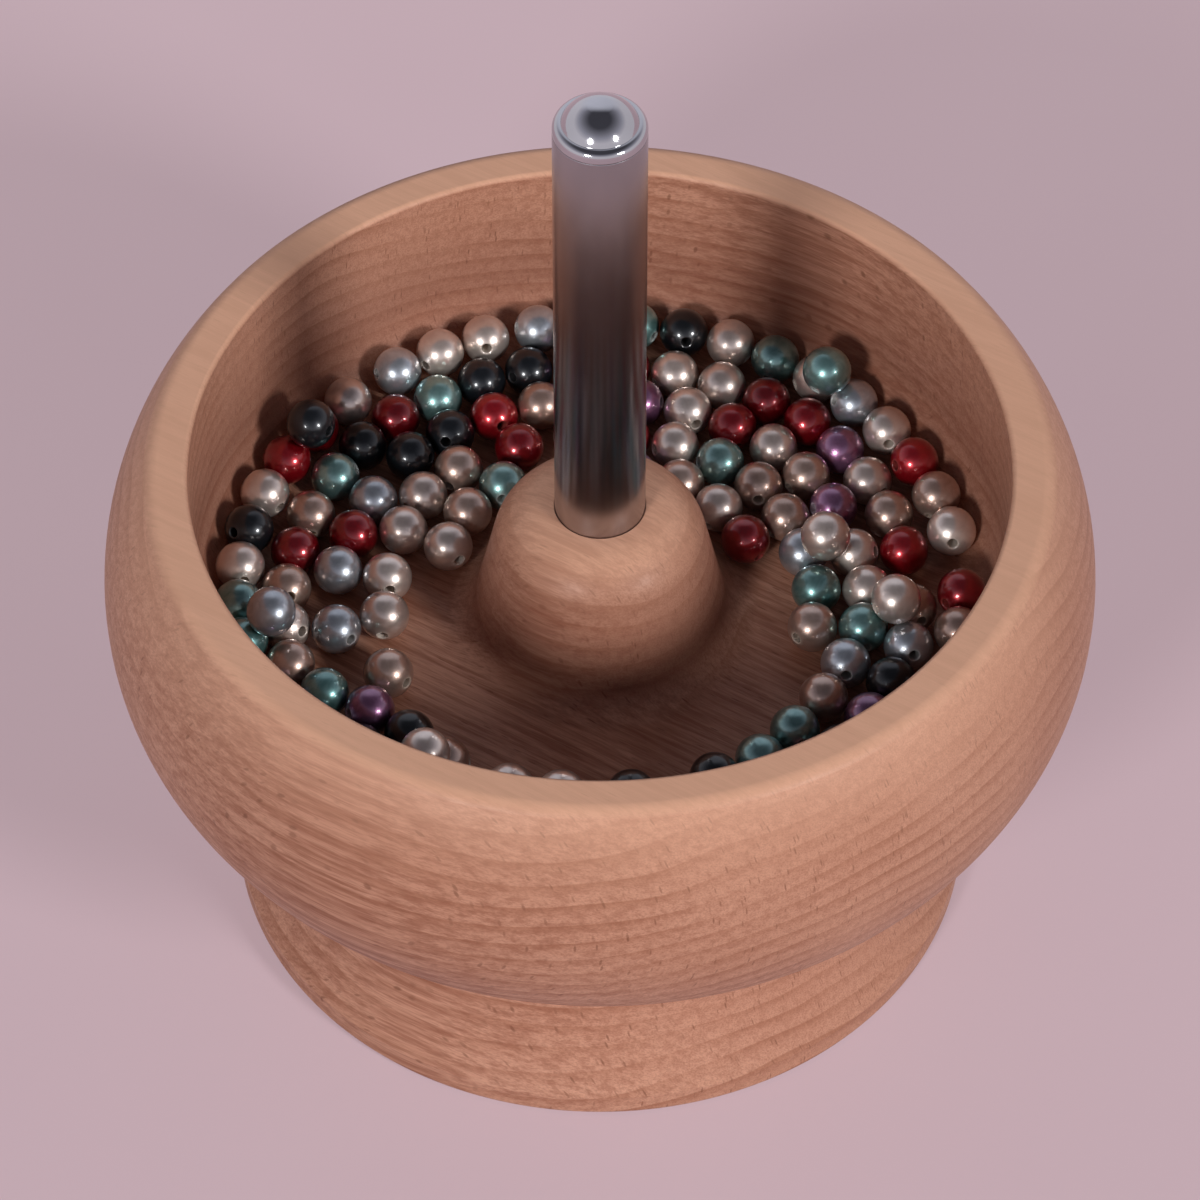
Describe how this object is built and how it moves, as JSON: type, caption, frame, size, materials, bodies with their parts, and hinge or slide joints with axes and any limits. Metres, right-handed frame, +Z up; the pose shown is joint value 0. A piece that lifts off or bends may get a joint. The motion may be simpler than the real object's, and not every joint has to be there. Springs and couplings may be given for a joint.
{
  "type": "bead spinner",
  "caption": "Turned wooden bowl with a steel spindle that spins on a steel pin in a wooden foot, loaded with glass pearl beads; it lifts off the pin.",
  "frame": {"origin": "middle of the foot's underside, on the table", "axes": "+Z up along the pin and the spindle; -Y towards the side where the beads leave the bowl's floor bare"},
  "size_m": [0.11, 0.11, 0.1165],
  "materials": {
    "beech": "satin, sanded and oiled",
    "spindle_steel": "polished",
    "pin_steel": "ground",
    "bush_brass": "turned",
    "pearl_cream": "pearl lustre",
    "pearl_champagne": "pearl lustre",
    "pearl_silver": "pearl lustre",
    "pearl_mint": "pearl lustre",
    "pearl_red": "glossy",
    "pearl_black": "glossy",
    "pearl_mauve": "pearl lustre"
  },
  "bodies": {
    "base": {"foot": "beech", "pivot_pin": "pin_steel"},
    "carrier": {"pivot_ball": "pin_steel"},
    "bowl": {"bowl": "beech", "spindle_tube": "spindle_steel", "spindle_cap": "spindle_steel", "lower_bush": "bush_brass", "beads_cream": "pearl_cream", "beads_champagne": "pearl_champagne", "beads_silver": "pearl_silver", "beads_mint": "pearl_mint", "beads_red": "pearl_red", "beads_black": "pearl_black", "beads_mauve": "pearl_mauve"}
  },
  "joints": [
    {"name": "bowl_lift", "type": "slide", "parent": "base", "child": "carrier", "axis": [0, 0, 1], "range_m": [0, 0.09]},
    {"name": "bowl_spin", "type": "hinge", "parent": "carrier", "child": "bowl", "pos_m": [0, 0, 0.1066], "axis": [0, 0, 1], "continuous": true}
  ]
}
